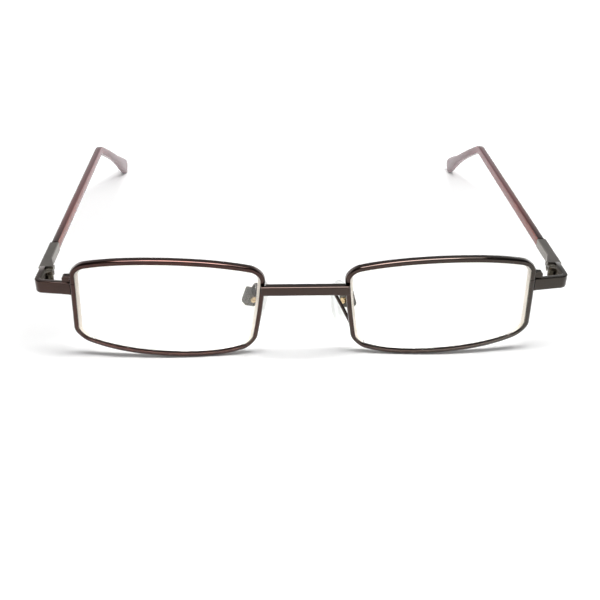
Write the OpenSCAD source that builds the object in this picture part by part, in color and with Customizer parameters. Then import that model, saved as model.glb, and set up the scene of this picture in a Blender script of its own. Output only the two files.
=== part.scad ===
// Reading glasses with a narrow metal front, rim locks, spring hinges, long
// plastic temple sleeves and screw-on nose pads, standing open.
// The front faces -Y, the temples run back along +Y, +Z is up, and left and
// right are the wearer's: left is at +X. The lower edges of the front and the
// temple tips stand on z = 0, and the origin is midway between the two sides.

/* [Front] */
// Width of the front over its two end pieces
front_w = 135.2; // [132:0.2:140]
// Gap between the two eyewires at the nose
nose_gap = 19.8; // [18:0.1:22]
// Outer width of one eyewire
rim_w = 48.3; // [46:0.1:50]
// Outer height of one eyewire at its middle
rim_h = 29.4; // [27:0.1:33]
// How far the top edge falls from its middle to its ends
top_bow = 3.85; // [2:0.05:5]
// Extra rise of the top edge towards the temple
top_rise = 0.75; // [0:0.05:1.2]
// How far the lower edge rises from its middle to its ends
low_bow = 3.75; // [1.5:0.05:4.5]
// Extra rise of the lower edge towards the temple
low_rise = 1.5; // [0:0.05:2]
// How far the nose side draws in at the bottom
nose_taper = 2.7; // [1:0.1:3.5]
// How far the temple side spreads at the bottom
temple_flare = 1; // [0:0.1:1.5]
// Outer radius of the upper corners
top_corner = 3.9; // [2.5:0.1:5]
// Outer radius of the lower corners
low_corner = 4; // [3:0.1:5.5]
// Forward lean of the front
lean = 4.7; // [3:0.1:7]
// Backward turn of each eyewire towards its temple
wrap = 0.5; // [0:0.1:2]
// Radius that the front faces of the eyewires are curved to
curve_r = 111; // [105:1:130]

/* [Eyewire and lens] */
// Width of the eyewire, seen from the front
wire_w = 1.25; // [1.1:0.05:1.4]
// Depth of the eyewire from front to back
wire_d = 1.75; // [1.5:0.05:1.9]
// Depth of the lens groove into the eyewire
groove_deep = 0.5; // [0.3:0.05:0.7]
// Width of the lens groove
groove_wide = 0.6; // [0.5:0.05:0.7]
// Thickness of the lip behind the lens groove
groove_lip = 0.3; // [0.25:0.05:0.4]
// Radius of the lens's front surface
lens_front_r = 106; // [100:1:115]
// Radius of the lens's back surface
lens_back_r = 128; // [122:1:140]
// Thickness of the lens at its middle
lens_t = 1.65; // [1.5:0.05:1.8]
// Clearance between the lens and the eyewire
lens_fit = 0.03; // [0.02:0.01:0.06]

/* [Bridge] */
// Height of the bridge bar
bridge_h = 2.6; // [1.8:0.1:3]
// Depth of the bridge bar from front to back
bridge_d = 1.75; // [1.3:0.05:2]
// How far each end of the bar laps over its eyewire
bridge_lap = 0.9; // [0.5:0.05:1]
// Depth of the lap in front of the eyewire
lap_d = 0.95; // [0.7:0.05:1.1]
// Height of the bar's middle
bridge_z = 20.1; // [17:0.1:21]
// Bevel along the bar's upper front edge
bridge_bevel = 0.35; // [0.2:0.05:0.8]

/* [End pieces] */
// Height of the end piece's bar
bar_h = 3.35; // [3:0.05:3.6]
// Thickness of the bar and its leg
bar_t = 1.35; // [1.2:0.05:1.5]
// Height of the bar's top edge
bar_top = 21.85; // [20.5:0.05:22.5]
// How far the corner's front lies behind the front's lower edge
corner_back = 2.9; // [2.5:0.1:3.4]
// Outer radius of the corner
corner_r = 2.2; // [1.8:0.1:2.8]
// Angle at which the bar runs back towards the corner
bar_sweep = 9; // [6:0.5:12]
// How far the leg runs past the hinge axis
leg_past = 2.2; // [2.1:0.05:2.4]

/* [Rim lock] */
// Width of the lock beside the eyewire
lock_w = 1.9; // [1.5:0.05:2]
// Depth of the lock from front to back
lock_d = 1.6; // [1.5:0.05:1.8]
// Height of the upper half
lock_up_h = 1.5; // [1.3:0.1:2]
// Height of the lower half
lock_low_h = 2.3; // [2:0.1:2.6]
// Slit between the halves, which also splits the eyewire
lock_slit = 0.12; // [0.08:0.02:0.2]
// How far the slit lies above the bar's top edge
slit_up = 0.15; // [0.1:0.05:0.4]
// Diameter of the rim screw
rim_screw_d = 0.8; // [0.7:0.05:0.85]
// Diameter of the rim screw's head
rim_head_d = 1.15; // [1.05:0.05:1.2]
// Height of the rim screw's head
rim_head_h = 0.4; // [0.3:0.05:0.5]

/* [Hinge] */
// Height of the hinge
hinge_h = 2.7; // [2.5:0.05:3]
// How far the hinge's top lies below the bar's top edge
hinge_down = 0.15; // [0:0.05:0.3]
// How far the hinge axis lies behind the front's lower edge
hinge_back = 9; // [8:0.1:10]
// Diameter of the hinge barrel
barrel_d = 2.2; // [2.1:0.05:2.3]
// Height of the middle knuckle
tongue_h = 0.9; // [0.8:0.05:1]
// Clearance above and below the middle knuckle
knuckle_gap = 0.05; // [0.03:0.01:0.08]
// Clearance between the barrel and the leg beside it
barrel_clear = 0.1; // [0.08:0.01:0.15]
// Diameter of the hinge screw
screw_d = 1.1; // [1:0.05:1.2]
// Diameter of the hinge screw's head
head_d = 1.6; // [1.5:0.05:1.7]
// Height of the hinge screw's head
head_h = 0.35; // [0.3:0.05:0.4]
// Radial clearance round each screw and rod
pin_fit = 0.03; // [0.02:0.01:0.06]
// Length of the soldered plate in front of the barrel
plate_l = 3.6; // [2.4:0.1:3.8]

/* [Spring housing] */
// Length of the housing
housing_l = 14; // [13.2:0.1:16]
// Width of the housing
housing_w = 2.5; // [2.4:0.05:2.7]
// Height of the housing
housing_h = 2.55; // [2.4:0.05:2.8]
// Gap between the leg and the housing
housing_gap = 0.2; // [0.15:0.05:0.4]
// How far the housing stands proud of the leg
housing_proud = 0.5; // [0.3:0.05:0.6]
// Edge radius of the housing
housing_edge = 0.35; // [0.2:0.05:0.45]
// How far the housing widens inwards at its front end
flare_w = 1.2; // [0.8:0.1:1.3]
// Length over which it widens
flare_l = 4.8; // [4:0.2:6]
// Diameter of the carriage's rod
rod_d = 0.8; // [0.7:0.05:0.85]
// Bore that the spring works in
bore_d = 1.6; // [1.55:0.05:1.7]
// Furthest slide of the housing on its rod
slide_max = 0.55; // [0.4:0.05:0.7]
// Wire of the hinge spring
spring_wire = 0.25; // [0.2:0.01:0.26]
// Outer diameter of the hinge spring
spring_d = 1.45; // [1.4:0.01:1.5]
// Turns of the hinge spring
spring_turns = 9; // [6:1:9]

/* [Temple] */
// Length of the temple from the hinge axis to its bend
temple_l = 89.4; // [82:0.1:95]
// Radius of the bend along the middle of the sleeve
bend_r = 9; // [6:0.5:14]
// Angle at which the ear tip starts down
hook_angle = 26; // [22:0.5:30]
// Radius of the ear tip's gentle downward curve
tip_curve_r = 205; // [170:5:260]
// How far the ear tip turns in
toe_in = 3.2; // [1:0.1:5]
// Thickness of the sleeve
sleeve_w = 2.1; // [1.9:0.05:2.3]
// Height of the sleeve at its front
sleeve_h = 2.9; // [2.7:0.05:3.1]
// Thickness of the sleeve at the bend
bend_w = 2.25; // [2.05:0.05:2.5]
// Height of the sleeve at the bend
bend_h = 2.65; // [2.4:0.05:3.2]
// Height of the ear tip at its widest
tip_h = 5.7; // [4.5:0.1:6.2]
// Thickness of the ear tip at its widest
tip_w = 2.4; // [2:0.05:2.6]
// Length of the tip's rounded end
tip_round = 3; // [2:0.1:4]
// Seam between the housing and the sleeve
seam = 0.15; // [0.1:0.05:0.3]
// Thickness of the metal core
core_w = 0.8; // [0.6:0.05:1]
// Height of the metal core
core_h = 1.5; // [1.2:0.05:1.8]
// Clearance round the core in its sleeve
core_fit = 0.03; // [0.02:0.01:0.06]
// Length of the core's plug in the housing
plug_l = 1.4; // [1:0.1:1.8]
// Solid plastic beyond the end of the core
core_short = 8; // [6:0.5:12]

/* [Nose pads] */
// Length of the nose pad
pad_l = 13.2; // [12:0.1:14]
// Width of the nose pad
pad_w = 7.8; // [6.5:0.1:8.5]
// Thickness of the nose pad at its crown
pad_t = 2.2; // [1.9:0.1:2.6]
// Tilt of the pads towards each other at their tops
pad_frontal = 22; // [16:1:28]
// Turn of the left pad from straight ahead
left_splay = 50; // [35:1:54]
// Turn of the right pad from straight ahead
right_splay = 26; // [20:1:40]
// How far the left pad box sits outside the nose gap
left_box_out = 1.9; // [1.5:0.05:2.4]
// How far the right pad box sits outside the nose gap
right_box_out = 4.2; // [3.5:0.05:4.6]
// How far the pad boxes lie behind the front's lower edge
box_back = 9; // [8.5:0.1:9.5]
// Height of the left pad box
left_box_z = 12.7; // [12:0.1:13.4]
// Height of the right pad box
right_box_z = 13.8; // [12.5:0.1:14]
// Length of the pad box
box_l = 4.4; // [4:0.1:4.8]
// Width of the pad box
box_w = 3.4; // [3.2:0.1:3.8]
// Depth of the pad box
box_d = 2.4; // [2.2:0.1:2.8]
// Wall of the pad box
box_wall = 0.35; // [0.3:0.05:0.45]
// How far the pad's middle lies below its box's middle
pad_drop = 1.6; // [1.2:0.1:2]
// Gap between the pad box and its pad
pad_float = 0.9; // [0.7:0.05:1.1]
// Thickness of the stiff insert
insert_t = 0.5; // [0.4:0.05:0.6]
// Length of the stiff insert
insert_l = 8; // [6:0.5:9]
// Width of the stiff insert
insert_w = 4; // [3:0.25:5]
// Diameter of the insert's stem
stem_d = 1.5; // [1.4:0.05:1.6]
// Diameter of the pad screw
pad_screw_d = 0.9; // [0.8:0.05:0.95]
// Diameter of the pad screw's head
pad_head_d = 1.6; // [1.4:0.05:1.8]
// Diameter of the pad arm's wire
arm_d = 0.9; // [0.8:0.05:1]
// Height at which the arms are soldered to the eyewires
arm_root = 7.2; // [6.5:0.1:9]
// Distance of the left arm's top from the middle
left_arm_x = 7.7; // [7:0.1:9]
// Distance of the right arm's top from the middle
right_arm_x = 12.1; // [11.5:0.1:12.6]
// Height of the left arm's top
left_arm_z = 16.3; // [15.8:0.1:17]
// Height of the right arm's top
right_arm_z = 17.3; // [16.8:0.1:17.6]

/* [Hidden] */
$fn = 32;
sphere_fn = 200;
// Gap between faces that are soldered or screwed together
seat = 0.02;

// Eyewire outline
rim_a = rim_w / 2;
rim_cx = nose_gap / 2 + rim_a;
rim_mid = rim_h / 2;
// Size of the blocks that cut right through a piece
through = rim_w;
edge_steps = 14;
side_steps = 4;
corner_steps = 6;

// Points along a corner of the plain rectangle, from angle a0 over a quarter turn
function corner(x, y, r, a0) = [for (i = [0:corner_steps])
    [x + r * cos(a0 + 90 * i / corner_steps), y + r * sin(a0 + 90 * i / corner_steps)]];

// Points strictly between two points
function between(p, q, n) = [for (i = [1:n - 1]) p + (q - p) * i / n];

// Rounded rectangle that lies d inside the outer size
function plain_line(d) = let (
        x = rim_a - d, y0 = d, y1 = rim_h - d,
        rl = low_corner - d, rt = top_corner - d,
        c0 = corner(-x + rl, y0 + rl, rl, 180),
        c1 = corner(x - rl, y0 + rl, rl, 270),
        c2 = corner(x - rt, y1 - rt, rt, 0),
        c3 = corner(-x + rt, y1 - rt, rt, 90))
    concat(c0, between(c0[corner_steps], c1[0], edge_steps),
        c1, between(c1[corner_steps], c2[0], side_steps),
        c2, between(c2[corner_steps], c3[0], edge_steps),
        c3, between(c3[corner_steps], c0[0], side_steps));

// Bends the plain rectangle: both long edges bow, and the sides lean
function bend_point(p, d) = let (
        t = (p[1] - d) / (rim_h - 2 * d),
        u = p[0] / rim_a,
        low = low_bow * (u * u + pow(u, 4)) / 2 + low_rise * u,
        top = top_rise * u - top_bow * (4 * u * u + pow(u, 4)) / 5,
        side = (u < 0 ? nose_taper : temple_flare) * pow(max(1 - t, 0), 1.5))
    [p[0] + side * abs(u), p[1] + low * (1 - t) + top * t];
function rim_line(d) = [for (p = plain_line(d)) bend_point(p, d)];

// How far up an end of the eyewire a height w lies, for the nose side (-1) or temple side (1)
function side_t(u, w) = (w - low_bow - low_rise * u)
    / (rim_h - low_bow - low_rise * u - top_bow + top_rise * u);
function nose_in(w) = nose_taper * pow(1 - side_t(-1, w), 1.5);
function temple_out(w) = temple_flare * pow(1 - side_t(1, w), 1.5);

// Depth of the curved front and back faces at a point of the eyewire
function front_s(x, w) = curve_r - sqrt(pow(curve_r, 2) - x * x - pow(w - rim_mid, 2));
function back_s(x, w) = curve_r - sqrt(pow(curve_r - wire_d, 2) - x * x - pow(w - rim_mid, 2));
function front_z(x, w) = w * cos(lean) + (x * sin(wrap) + front_s(x, w) * cos(wrap)) * sin(lean);
low_z = min([for (p = rim_line(0)) front_z(p[0], p[1])]);

// Height up the leaning front of a point at height z and depth y behind the origin
function up_front(z, y) = (z + low_z) * cos(lean) - y * sin(lean);
function along_front(z, y) = (z + low_z) * sin(lean) + y * cos(lean);

// Lens groove, in front of the lip
groove_s = wire_d - groove_lip - groove_wide;
// Places the lens's front face so that its edge lies behind the eyewire's front
lens_edge_r = rim_a - wire_w;
lens_set = groove_s - 0.1;
lens_s = front_s(lens_edge_r, rim_mid) + lens_set - pow(lens_edge_r, 2) / (2 * lens_front_r);

// Bridge
bridge_up = up_front(bridge_z, 0.5);
bridge_in = nose_in(bridge_up);
bridge_l = nose_gap + 2 * (bridge_in + bridge_lap);
lap_side = nose_gap / 2 + nose_in(bridge_up + bridge_h / 2) - 0.1;
lap_x = rim_a - bridge_in - bridge_lap - 0.1;
lap_s = -lap_x * sin(wrap) + front_s(lap_x, bridge_up - bridge_h / 2) * cos(wrap) - 0.05;

// End piece
side_x = front_w / 2;
bar_mid = bar_top - bar_h / 2;
corner_x = side_x - corner_r;
corner_y = corner_back + corner_r;
leg_in = side_x - bar_t;

// Rim lock, in the eyewire's own directions
bar_front_s = along_front(bar_mid, corner_back - (side_x - rim_cx - rim_a) * tan(bar_sweep));
lock_s = bar_front_s - rim_a * sin(wrap) + 1;
slit_w = up_front(bar_top, 4) + slit_up + lock_slit / 2;
lock_x = rim_a + temple_out(slit_w - lock_low_h) + seat;
lock_fit = 0.04;
rim_screw_x = lock_x + lock_w / 2;
rim_screw_s = lock_s + lock_d / 2;

// Hinge
barrel_r = barrel_d / 2;
axis_x = leg_in - barrel_clear - barrel_r;
axis_y = hinge_back;
hinge_top = bar_top - hinge_down;
hinge_mid = hinge_top - hinge_h / 2;
tongue_room = tongue_h + 2 * knuckle_gap;
knuckle_h = (hinge_h - tongue_room) / 2;
leg_end = axis_y + leg_past;

// Spring housing and carriage
housing_x = side_x + housing_proud - housing_w / 2;
housing_y = leg_end + housing_gap;
housing_end = housing_y + housing_l;
tongue_half = 0.5;
tongue_step = 0.4;
tongue_l = 1.8;
housing_wall = 0.3;
tongue_y = housing_y + tongue_step;
tongue_end = tongue_y + tongue_l;
tongue_out = side_x + housing_proud - housing_wall - 0.1;
rod_room = 0.1;
pocket_end = tongue_end + rod_room;
guide_l = 1.4;
bore_y = pocket_end + guide_l;
bore_end = housing_end - plug_l;
rod_head_d = bore_d - 0.16;
rod_head_l = 0.7;
rod_end = bore_end - slide_max - 0.35;
spring_y = bore_y + 0.05;
spring_end = rod_end - rod_head_l - 0.05;
spring_r = (spring_d - spring_wire) / 2;

// Temple line, from the housing's rear end to the tip, along the sleeve's middle
sleeve_y = housing_end + seam;
sleeve_x = side_x + 0.25 - sleeve_w / 2;
bend_y = axis_y + temple_l;
bend_arc = bend_r * hook_angle * PI / 180;
bend_z = hinge_top - bend_h / 2;
straight_l = bend_y - sleeve_y;
// Height from the middle of the tip's end down to its lowest point, at slope b
function tip_half(b) = sqrt(pow(tip_round * sin(b), 2) + pow(tip_h / 2 * cos(b), 2));
// Slope at which the tip's end rests on z = 0, from n steps of trial
function end_slope(b, n) = n == 0 ? b : end_slope(
    acos(cos(hook_angle) - (bend_z - bend_r * (1 - cos(hook_angle)) - tip_half(b)) / tip_curve_r), n - 1);
tip_slope = end_slope(hook_angle, 6);
hook_l = tip_curve_r * (tip_slope - hook_angle) * PI / 180;
cap_l = straight_l + bend_arc + hook_l;
line_l = cap_l + tip_round;

// Point of the temple line at length s from the sleeve's front
function line_point(s) = let (
        q = s - straight_l,
        a = min(max(q, 0) / bend_arc, 1) * hook_angle,
        b = hook_angle + max(q - bend_arc, 0) / tip_curve_r * 180 / PI,
        g = max(q, 0) / (line_l - straight_l),
        y = bend_y + min(q, 0) + bend_r * sin(a) + tip_curve_r * (sin(b) - sin(hook_angle)),
        z = hinge_top - plain_high(s) / 2 - bend_r * (1 - cos(a)) - tip_curve_r * (cos(hook_angle) - cos(b)))
    [sleeve_x - toe_in * pow(g, 1.3), y, z];

// Eased step from 0 to 1
function ease(t) = let (c = min(max(t, 0), 1)) c * c * (3 - 2 * c);

// Height and thickness of the sleeve at length s, closed by a rounded end
function cap_scale(s) = s <= cap_l ? 1 : sqrt(max(1 - pow((s - cap_l) / tip_round, 2), 0.0004));
function along_hook(s) = max(s - straight_l - bend_arc, 0) / (hook_l + tip_round);
function plain_high(s) = sleeve_h + (bend_h - sleeve_h) * min(max(s, 0) / straight_l, 1);
function sleeve_high(s) = (plain_high(s) + (tip_h - bend_h) * ease(2 * along_hook(s) - 1)) * cap_scale(s);
function sleeve_thick(s) = let (w = sleeve_w + (bend_w - sleeve_w) * min(s / straight_l, 1))
    (w + (tip_w - bend_w) * along_hook(s)) * pow(cap_scale(s), 0.7);

// Rounded rectangle of n points for a section w wide and h high
function round_section(w, h, n) = [for (i = [0:n - 1]) let (
        a = 360 * i / n, c = cos(a), s = sin(a))
    [sign(c) * pow(abs(c), 0.55) * w / 2, sign(s) * pow(abs(s), 0.55) * h / 2]];
function box_section(w, h) = [[w / 2, -h / 2], [w / 2, h / 2], [-w / 2, h / 2], [-w / 2, -h / 2]];
function round_wire(d, n) = [for (i = [0:n - 1]) [cos(360 * i / n), sin(360 * i / n)] * d / 2];

// Ring of points round path point i, square to the path
function direction(path, i) = let (
        v = path[min(i + 1, len(path) - 1)] - path[max(i - 1, 0)]) v / norm(v);
function ring(path, i, section) = let (
        t = direction(path, i),
        c = cross([1, 0, 0], t),
        up = c / norm(c),
        out = cross(t, up))
    [for (p = section) path[i] + p[0] * out + p[1] * up];

// Closed solid through rings of equal count, with flat ends
module loft(rings) {
    n = len(rings[0]);
    m = len(rings);
    polyhedron(
        points = [for (r = rings) for (p = r) p],
        faces = concat(
            [for (i = [0:m - 2]) for (j = [0:n - 1]) [i * n + j, (i + 1) * n + (j + 1) % n, (i + 1) * n + j]],
            [for (i = [0:m - 2]) for (j = [0:n - 1])
                [i * n + j, i * n + (j + 1) % n, (i + 1) * n + (j + 1) % n]],
            [for (j = [1:n - 2]) [0, j + 1, j]],
            [for (j = [1:n - 2]) [(m - 1) * n, (m - 1) * n + j, (m - 1) * n + j + 1]]),
        convexity = 6);
}

// Lengths along the temple line at which the sleeve has a ring
sleeve_stops = concat(
    [for (i = [0:5]) straight_l * i / 6],
    [for (i = [0:7]) straight_l + bend_arc * i / 8],
    [for (i = [0:11]) straight_l + bend_arc + hook_l * i / 12],
    [for (i = [0:7]) cap_l + tip_round * sin(90 * i / 8)],
    [line_l]);
core_end = line_l - core_short;
core_stops = [for (s = concat([-seam], sleeve_stops)) if (s < core_end) s];

// Nose pad outline: an oval, fuller below
pad_steps = 24;
function pad_oval(k) = [for (i = [0:pad_steps - 1]) let (a = 360 * i / pad_steps)
    [cos(a) * pad_w / 2 * (1 - 0.12 * sin(a)) * k, sin(a) * pad_l / 2 * k]];
// Ring of the pad at depth x, shrunk by k
function pad_ring(x, k) = [for (p = pad_oval(k)) [x, p[0], p[1]]];
pad_x = -box_d / 2 - pad_float;
crown_steps = 6;

// Pad arm: a straight rise from the eyewire, then a turn down into the pad box
function bezier(p, t) = pow(1 - t, 3) * p[0] + 3 * t * pow(1 - t, 2) * p[1]
    + 3 * t * t * (1 - t) * p[2] + pow(t, 3) * p[3];
function behind_rim(z) = let (
        w = up_front(z, 3),
        x = nose_in(w) + wire_w / 2,
        s = back_s(rim_a - x, w) * cos(wrap) - (rim_a - x) * sin(wrap))
    [nose_gap / 2 + x, s * cos(lean) - w * sin(lean) + arm_d / 2 + 2 * seat, z];
solder_l = 1.6;
arm_top_y = 6.2;
function turned(v, splay) = [
    (v[0] * cos(pad_frontal) - v[2] * sin(pad_frontal)) * cos(splay) + v[1] * sin(splay),
    -(v[0] * cos(pad_frontal) - v[2] * sin(pad_frontal)) * sin(splay) + v[1] * cos(splay),
    v[0] * sin(pad_frontal) + v[2] * cos(pad_frontal)];
function arm_path(arm_x, arm_z, box_at, splay) = let (
        low = behind_rim(arm_root - solder_l),
        root = behind_rim(arm_root),
        top = [arm_x, arm_top_y, arm_z],
        up = turned([0, 0, 1], splay),
        end = box_at + up * (box_l / 2 + seat),
        over = end + up * 0.4,
        rise = [root, root + (root - low) * 0.6, root + (top - root) * 0.85 + [0, -0.7, 0.6], top],
        turn = [top, top + (top - root) * 0.05 + [0, 1.6, 0.2], over + up * 1.4, over])
    concat([low], [for (i = [0:11]) bezier(rise, i / 12)], [for (i = [0:12]) bezier(turn, i / 12)], [end]);
left_box_at = [nose_gap / 2 + left_box_out, box_back, left_box_z];
right_box_at = [nose_gap / 2 + right_box_out, box_back, right_box_z];

// Places
module right_side() { mirror([1, 0, 0]) children(); }
module on_front() { translate([0, 0, -low_z]) rotate([lean, 0, 0]) children(); }
module on_rim() { on_front() translate([rim_cx, 0, 0]) rotate([0, 0, wrap]) children(); }
module on_pad(box_at, splay) {
    translate(box_at) rotate([0, 0, -splay]) rotate([0, -pad_frontal, 0]) children();
}

// Helpers
module rim_prism(d) {
    translate([0, through / 2, 0]) rotate([90, 0, 0]) linear_extrude(through) polygon(rim_line(d));
}
module curve_ball(s) {
    translate([0, curve_r, rim_mid]) sphere(r = curve_r - s, $fn = sphere_fn);
}
module y_rod(d, y0, y1) {
    translate([0, y0, 0]) rotate([-90, 0, 0]) cylinder(d = d, h = y1 - y0);
}
module rounded(w, h, r) {
    square([w - 2 * r, h], center = true);
    square([w, h - 2 * r], center = true);
    for (x = [-1, 1], y = [-1, 1])
        translate([x * (w / 2 - r), y * (h / 2 - r)]) circle(r = r);
}

// Eyewire: a grooved ring, split at the rim lock
module eyewire() {
    color("#3a2420") on_rim() difference() {
        intersection() {
            difference() {
                rim_prism(0);
                rim_prism(wire_w);
            }
            difference() {
                curve_ball(0);
                curve_ball(wire_d);
            }
        }
        intersection() {
            rim_prism(wire_w - groove_deep);
            difference() {
                curve_ball(groove_s);
                curve_ball(groove_s + groove_wide);
            }
        }
        translate([rim_a - 2 * wire_w, -5, slit_w - lock_slit / 2])
            cube([4 * wire_w, 15, lock_slit]);
    }
}

// Lens: a plus lens with a bevelled edge in the groove
module lens_blank() {
    color("#e8f0ee") on_rim() union() {
        intersection() {
            rim_prism(wire_w + lens_fit);
            translate([0, lens_s + lens_front_r, rim_mid]) sphere(r = lens_front_r, $fn = sphere_fn);
            difference() {
                translate([0, 10, rim_mid]) cube([rim_w + 4, 20, rim_h + 4], center = true);
                translate([0, lens_s + lens_t + lens_back_r, rim_mid])
                    sphere(r = lens_back_r, $fn = sphere_fn);
            }
        }
        intersection() {
            rim_prism(wire_w - groove_deep + lens_fit);
            difference() {
                curve_ball(groove_s + lens_fit);
                curve_ball(groove_s + groove_wide - lens_fit);
            }
        }
    }
}

// Bridge: a bevelled bar, notched to lap over both eyewires
module bridge() {
    front = lap_s - lap_d;
    h = bridge_h / 2;
    color("#3c322e") on_front() difference() {
        translate([-bridge_l / 2, front, bridge_up]) rotate([90, 0, 90]) linear_extrude(bridge_l)
            polygon([[bridge_d, -h], [bridge_d, h], [bridge_bevel, h], [0, h - bridge_bevel],
                [0, bridge_bevel - h], [bridge_bevel, -h]]);
        for (x = [-1, 1])
            translate([x * (lap_side + 5), lap_s + 5, bridge_up]) cube([10, 10, 2 * bridge_h], center = true);
    }
}

// Outside of the rim lock, grown by g
module lock_block(w0, w1, g) {
    translate([lock_x - g, lock_s - g, w0 - g])
        cube([lock_w + 2 * g, lock_d + 2 * g, w1 - w0 + 2 * g]);
}
module upper_lock() {
    w0 = slit_w + lock_slit / 2;
    color("#4a4038") on_rim() difference() {
        intersection() {
            lock_block(w0, w0 + lock_up_h, 0);
            translate([lock_x, lock_s - 1, w0]) rotate([-90, 0, 0])
                translate([0, -lock_up_h, 0]) linear_extrude(lock_d + 2) {
                    square([lock_w - 0.6, lock_up_h]);
                    translate([0, 0.6]) square([lock_w, lock_up_h - 0.6]);
                    translate([lock_w - 0.6, 0.6]) circle(r = 0.6);
                }
        }
        translate([rim_screw_x, rim_screw_s, w0 - 1])
            cylinder(d = rim_screw_d + 2 * pin_fit, h = lock_up_h - 0.3 + 1);
    }
}
module lower_lock() {
    w1 = slit_w - lock_slit / 2;
    w0 = w1 - lock_low_h;
    color("#4a4038") on_rim() difference() {
        lock_block(w0, w1, 0);
        translate([rim_screw_x, rim_screw_s, w0 - 1])
            cylinder(d = rim_screw_d + 2 * pin_fit, h = lock_low_h + 2);
        translate([rim_screw_x, rim_screw_s, w0 - 1])
            cylinder(d = rim_head_d + 2 * pin_fit, h = rim_head_h + 1);
    }
}
module rim_screw() {
    w0 = slit_w - lock_slit / 2 - lock_low_h;
    w1 = slit_w + lock_slit / 2 + lock_up_h - 0.4;
    color("#6a625a") on_rim() translate([rim_screw_x, rim_screw_s, w0 + seat]) difference() {
        union() {
            cylinder(d = rim_screw_d, h = w1 - w0);
            cylinder(d = rim_head_d, h = rim_head_h - 2 * seat);
        }
        translate([0, 0, 0]) cube([rim_head_d + 1, 0.25, 0.3], center = true);
    }
}

// Plan of a bend whose outer faces lie r from its centre, filled on the inside
module bent_plan(r, l, back, fill) {
    circle(r = r, $fn = 64);
    rotate(bar_sweep) translate([-l, -r]) square([l, r + fill]);
    translate([-fill, 0]) square([fill + r, back]);
}

// End piece: bar, corner and leg
module end_piece() {
    bar_l = side_x - rim_cx - rim_a + 2;
    rim_side = rim_a + temple_out(up_front(bar_top - bar_h, 0)) + seat;
    color("#42342f") difference() {
        translate([0, 0, bar_top - bar_h]) linear_extrude(bar_h) {
            translate([corner_x, corner_y]) difference() {
                bent_plan(corner_r, bar_l, leg_end - corner_y, 0);
                bent_plan(corner_r - bar_t, bar_l + 1, leg_end, corner_r);
            }
        }
        on_rim() translate([rim_side - through, -through / 2, 0]) cube(through);
        on_rim() lock_block(slit_w - lock_slit / 2 - lock_low_h, slit_w + lock_slit / 2 + lock_up_h,
            lock_fit);
    }
}

// Front knuckles and the plate that joins them to the leg
module front_hinge() {
    plate_x = axis_x + 0.4;
    color("#3b332c") difference() {
        union() {
            translate([0, 0, hinge_top - hinge_h]) linear_extrude(hinge_h) intersection() {
                translate([plate_x, axis_y - barrel_r - 0.2 - plate_l])
                    square([leg_in - seat - plate_x, plate_l]);
                translate([corner_x, corner_y])
                    bent_plan(corner_r - bar_t - seat, 2 * corner_r, leg_end, corner_r);
            }
            for (z = [hinge_top - hinge_h, hinge_top - knuckle_h])
                translate([0, 0, z]) linear_extrude(knuckle_h) {
                    translate([axis_x, axis_y]) circle(d = barrel_d, $fn = 48);
                    translate([axis_x, axis_y - barrel_r - 0.3])
                        square([leg_in - seat - axis_x, barrel_r + 0.9]);
                }
        }
        translate([axis_x, axis_y, hinge_top - hinge_h - 1])
            cylinder(d = screw_d + 2 * pin_fit, h = hinge_h + 2);
        translate([axis_x, axis_y, hinge_top - head_h - seat])
            cylinder(d = head_d + 2 * pin_fit, h = head_h + 1);
    }
}
module hinge_screw() {
    color("#b8b2a6") translate([axis_x, axis_y, 0]) difference() {
        union() {
            translate([0, 0, hinge_top - hinge_h + seat]) cylinder(d = screw_d, h = hinge_h - head_h - seat);
            translate([0, 0, hinge_top - head_h]) cylinder(d = head_d, h = head_h - seat);
        }
        translate([0, 0, hinge_top]) cube([head_d + 1, 0.25, 0.4], center = true);
    }
}

// Spring carriage: middle knuckle, tongue, rod and the rod's head
module spring_carriage() {
    color("#8a847a") difference() {
        union() {
            translate([0, 0, hinge_mid - tongue_h / 2]) linear_extrude(tongue_h) {
                translate([axis_x, axis_y]) circle(d = barrel_d, $fn = 48);
                translate([axis_x - tongue_half, axis_y]) square([2 * tongue_half, tongue_end - axis_y]);
                translate([axis_x - tongue_half, tongue_y])
                    square([tongue_out - axis_x + tongue_half, tongue_l]);
            }
            translate([housing_x, 0, hinge_mid]) y_rod(rod_d, tongue_end - 0.2, rod_end);
            translate([housing_x, 0, hinge_mid]) y_rod(rod_head_d, rod_end - rod_head_l, rod_end);
        }
        translate([axis_x, axis_y, hinge_mid - hinge_h])
            cylinder(d = screw_d + 2 * pin_fit, h = 2 * hinge_h);
    }
}

// Hinge spring: one wire wound round the rod
function coil_point(t) = let (a = 360 * spring_turns * t)
    [housing_x + spring_r * cos(a),
    spring_y + spring_wire / 2 + (spring_end - spring_y - spring_wire) * t,
    hinge_mid + spring_r * sin(a)];
coil_steps = 8 * spring_turns;
coil_path = [for (i = [0:coil_steps]) coil_point(i / coil_steps)];
coil_gap = min([for (i = [0:coil_steps - 8]) norm(coil_path[i + 8] - coil_path[i])]) - spring_wire;
function coil_ring(i) = let (
        a = 360 * spring_turns * i / coil_steps,
        out = [cos(a), 0, sin(a)],
        t = direction(coil_path, i),
        side = cross(out, t))
    [for (p = round_wire(spring_wire, 6)) coil_path[i] + p[0] * out + p[1] * side / norm(side)];
echo(spring_least_gap = coil_gap, hinge_axis = [axis_x, axis_y, hinge_mid]);
echo(left_pad_axis = turned([0, 1, 0], left_splay), left_box = left_box_at);
echo(right_pad_axis = turned([0, 1, 0], right_splay), right_box = right_box_at);
module hinge_spring() {
    color("#c8c8cc") loft([for (i = [0:coil_steps]) coil_ring(i)]);
}

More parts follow.
